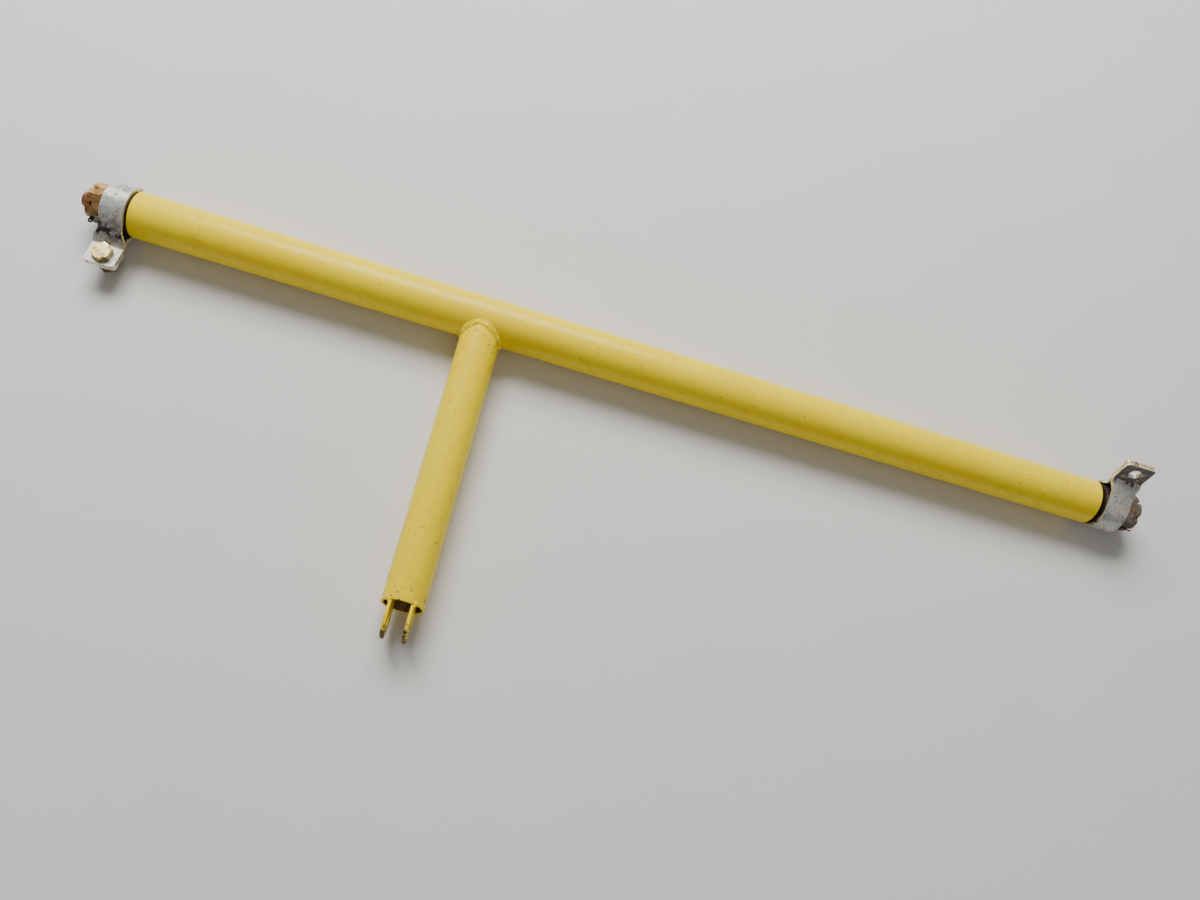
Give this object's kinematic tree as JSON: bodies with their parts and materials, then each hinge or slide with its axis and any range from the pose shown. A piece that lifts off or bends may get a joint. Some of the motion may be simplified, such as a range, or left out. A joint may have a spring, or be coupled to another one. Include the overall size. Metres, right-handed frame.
{
  "type": "control torque tube",
  "caption": "Straight cross tube with a welded control arm ending in a fork, carried at each end on a threaded stud in a swivelling bushed strap bracket.",
  "frame": {"origin": "bottom centre of the whole assembly's box, lying flat on its two straps", "axes": "+X along the cross tube towards its long end, arm towards -Y, +Z square to the plane of tube and arm"},
  "size_m": [0.6142, 0.1986, 0.0441],
  "materials": {
    "yellow_paint": "gloss yellow enamel, scuffed",
    "bare_steel": "machined steel with a film of rust",
    "dull_plating": "dull weathered plating",
    "gold_plating": "golden tan passivated plating",
    "brown_phenolic": "dark brown bearing material"
  },
  "bodies": {
    "torque_tube": {"main_tube": "yellow_paint", "arm_tube": "yellow_paint", "junction_weld": "yellow_paint", "fork_plate_left": "yellow_paint", "fork_plate_right": "yellow_paint", "left_end_plug": "bare_steel", "left_stud_washer": "dull_plating", "left_castle_nut": "gold_plating", "left_cotter_pin": "bare_steel", "right_end_plug": "bare_steel", "right_shim_washer": "brown_phenolic", "right_stud_washer": "dull_plating", "right_castle_nut": "gold_plating", "right_cotter_pin": "bare_steel"},
    "left_bracket": {"left_strap": "dull_plating", "left_bushing": "brown_phenolic", "left_ear_bolt": "dull_plating", "left_ear_washer": "dull_plating", "left_ear_nut": "bare_steel"},
    "right_bracket": {"right_strap": "dull_plating", "right_bushing": "brown_phenolic"}
  },
  "joints": [
    {"name": "left_bracket_swivel", "type": "hinge", "parent": "torque_tube", "child": "left_bracket", "pos_m": [-0.28575, 0.0808, 0.0138], "axis": [1, 0, 0], "continuous": true},
    {"name": "right_bracket_swivel", "type": "hinge", "parent": "torque_tube", "child": "right_bracket", "pos_m": [0.28775, 0.0808, 0.0138], "axis": [1, 0, 0], "continuous": true}
  ]
}
